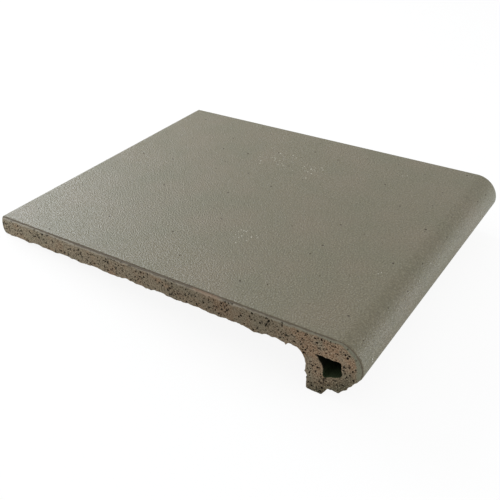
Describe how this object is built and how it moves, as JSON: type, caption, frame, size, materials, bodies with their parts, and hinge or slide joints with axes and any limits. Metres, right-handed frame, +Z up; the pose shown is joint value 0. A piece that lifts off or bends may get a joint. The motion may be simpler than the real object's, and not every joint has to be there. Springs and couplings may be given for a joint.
{
  "type": "stair tread tile",
  "caption": "Glazed clay stair tread tile with a rounded hollow nose and a drip leg that laps over the riser.",
  "frame": {"origin": "on the floor under the middle of the tile's box, as the tile lies unheld", "axes": "+X towards the nose, +Y along the nose, +Z up; the tile lies glaze up on its rear edge and its leg, so the tread rises towards the nose by 6.7 degrees"},
  "size_m": [0.2948, 0.245, 0.0474],
  "materials": {
    "glazed_clinker": "satin olive-grey glaze on the tread and nose, bare brown fired clay elsewhere"
  },
  "bodies": {
    "root": {"tread_tile": "glazed_clinker"}
  },
  "joints": []
}
